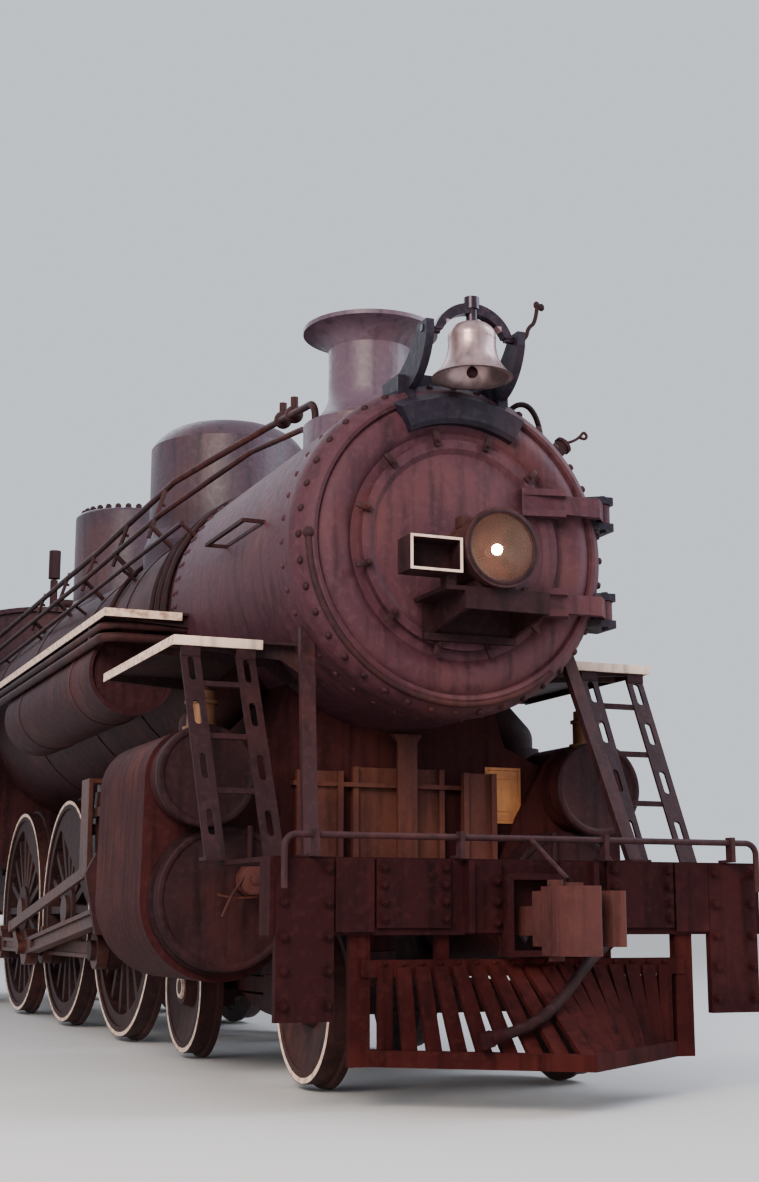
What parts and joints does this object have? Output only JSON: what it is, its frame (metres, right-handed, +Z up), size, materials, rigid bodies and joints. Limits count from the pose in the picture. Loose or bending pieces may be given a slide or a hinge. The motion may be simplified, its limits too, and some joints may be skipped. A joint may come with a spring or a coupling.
{
  "type": "steam locomotive",
  "caption": "Large steam locomotive with a leading truck, coupled driving wheels, a trailing truck, a slatted pilot, a smokebox door that opens and a swinging bell, without its tender.",
  "frame": {"origin": "under the middle of the engine's length and width, at the tips of the wheel flanges", "axes": "+Z up, the front faces -Y, +X to the left of the crew facing forward"},
  "size_m": [3.09, 14.714, 4.7746],
  "materials": {
    "weathered_iron": "dull black paint with brown dirt and rust",
    "cast_grey": "grimy grey-brown cast iron",
    "wheel_iron": "dirty black paint, white rims",
    "rod_steel": "oily, rust stained steel",
    "bell_brass": "tarnished",
    "lamp_steel": "worn black paint",
    "hose_rubber": "dusty black rubber"
  },
  "bodies": {
    "root": {"air_hose": "hose_rubber", "air_pump": "weathered_iron", "air_reservoirs": "weathered_iron", "ash_pan": "weathered_iron", "bell_stand": "weathered_iron", "boiler_barrel": "weathered_iron", "boiler_pipes": "weathered_iron", "brake_rigging": "weathered_iron", "cab_fittings": "weathered_iron", "cab_floor": "weathered_iron", "cab_front": "weathered_iron", "cab_roof": "weathered_iron", "cab_sides": "weathered_iron", "chimney": "weathered_iron", "crosshead_guides": "rod_steel", "crossheads": "rod_steel", "cylinder_casting_left": "cast_grey", "cylinder_casting_right": "cast_grey", "cylinder_covers": "cast_grey", "domes": "weathered_iron", "firebox": "weathered_iron", "frame_ties": "weathered_iron", "front_coupler": "weathered_iron", "handrails": "weathered_iron", "hinge_brackets": "weathered_iron", "hose_coupling": "weathered_iron", "ladders": "weathered_iron", "main_frame": "weathered_iron", "main_rods": "rod_steel", "pilot": "weathered_iron", "pilot_beam": "weathered_iron", "rear_casting": "weathered_iron", "running_boards": "weathered_iron", "saddle_shields": "weathered_iron", "smokebox": "weathered_iron", "smokebox_braces": "weathered_iron", "smokebox_front": "weathered_iron", "springs": "weathered_iron", "steam_pipes": "weathered_iron", "turret": "weathered_iron", "uncoupling_lever": "weathered_iron", "valve_gear": "rod_steel"},
    "pilot_truck": {"pilot_truck_frame": "weathered_iron"},
    "pilot_wheelset_1": {"pilot_wheelset_1": "wheel_iron"},
    "pilot_wheelset_2": {"pilot_wheelset_2": "wheel_iron"},
    "driver_wheelset_1": {"driver_axle_1": "wheel_iron", "driver_wheels_1": "wheel_iron"},
    "driver_wheelset_2": {"driver_axle_2": "wheel_iron", "driver_wheels_2": "wheel_iron"},
    "driver_wheelset_3": {"driver_axle_3": "wheel_iron", "driver_wheels_3": "wheel_iron"},
    "side_rod_right": {"side_rod_right": "rod_steel"},
    "side_rod_left": {"side_rod_left": "rod_steel"},
    "trailing_truck": {"trailing_truck_frame": "weathered_iron"},
    "trailing_wheelset": {"trailing_wheelset": "wheel_iron"},
    "smokebox_door": {"headlight": "lamp_steel", "headlight_shelf": "lamp_steel", "smokebox_door": "weathered_iron"},
    "bell": {"bell": "bell_brass"},
    "fire_door": {"fire_door": "weathered_iron"}
  },
  "joints": [
    {"name": "pilot_truck_swivel", "type": "hinge", "parent": "root", "child": "pilot_truck", "pos_m": [0, -4.47, 0.6], "axis": [0, 0, 1], "range_deg": [-4, 4]},
    {"name": "pilot_wheels_1_spin", "type": "hinge", "parent": "pilot_truck", "child": "pilot_wheelset_1", "pos_m": [0, -5.6, 0.447], "axis": [1, 0, 0], "continuous": true},
    {"name": "pilot_wheels_2_spin", "type": "hinge", "parent": "pilot_truck", "child": "pilot_wheelset_2", "pos_m": [0, -3.34, 0.447], "axis": [1, 0, 0], "continuous": true},
    {"name": "drivers_2_spin", "type": "hinge", "parent": "root", "child": "driver_wheelset_2", "pos_m": [0, 0.325, 0.955], "axis": [1, 0, 0], "continuous": true},
    {"name": "drivers_1_spin", "type": "hinge", "parent": "root", "child": "driver_wheelset_1", "pos_m": [0, -1.65, 0.955], "axis": [1, 0, 0], "continuous": true},
    {"name": "drivers_3_spin", "type": "hinge", "parent": "root", "child": "driver_wheelset_3", "pos_m": [0, 2.3, 0.955], "axis": [1, 0, 0], "continuous": true},
    {"name": "side_rod_right_pin", "type": "hinge", "parent": "driver_wheelset_2", "child": "side_rod_right", "pos_m": [0, 0.503, 0.6467], "axis": [1, 0, 0], "continuous": true},
    {"name": "side_rod_left_pin", "type": "hinge", "parent": "driver_wheelset_2", "child": "side_rod_left", "pos_m": [0, 0.0167, 0.777], "axis": [1, 0, 0], "continuous": true},
    {"name": "trailing_truck_swivel", "type": "hinge", "parent": "root", "child": "trailing_truck", "pos_m": [0, 3.1, 0.6], "axis": [0, 0, 1], "range_deg": [-3, 3]},
    {"name": "trailing_wheels_spin", "type": "hinge", "parent": "trailing_truck", "child": "trailing_wheelset", "pos_m": [0, 5, 0.574], "axis": [1, 0, 0], "continuous": true},
    {"name": "smokebox_door_hinge", "type": "hinge", "parent": "root", "child": "smokebox_door", "pos_m": [0.95, -5.8, 2.925], "axis": [0, 0, 1], "range_deg": [0, 95]},
    {"name": "bell_swing", "type": "hinge", "parent": "root", "child": "bell", "pos_m": [0, -6.035, 4.098], "axis": [1, 0, 0], "range_deg": [-30, 30]},
    {"name": "fire_door_hinge", "type": "hinge", "parent": "root", "child": "fire_door", "pos_m": [0.24, 6.08, 2.33], "axis": [0, 0, 1], "range_deg": [-100, 0]}
  ],
  "couplings": [
    {"joint": "drivers_1_spin", "follows": "drivers_2_spin", "ratio": 1},
    {"joint": "drivers_3_spin", "follows": "drivers_2_spin", "ratio": 1},
    {"joint": "side_rod_right_pin", "follows": "drivers_2_spin", "ratio": -1},
    {"joint": "side_rod_left_pin", "follows": "drivers_2_spin", "ratio": -1}
  ]
}
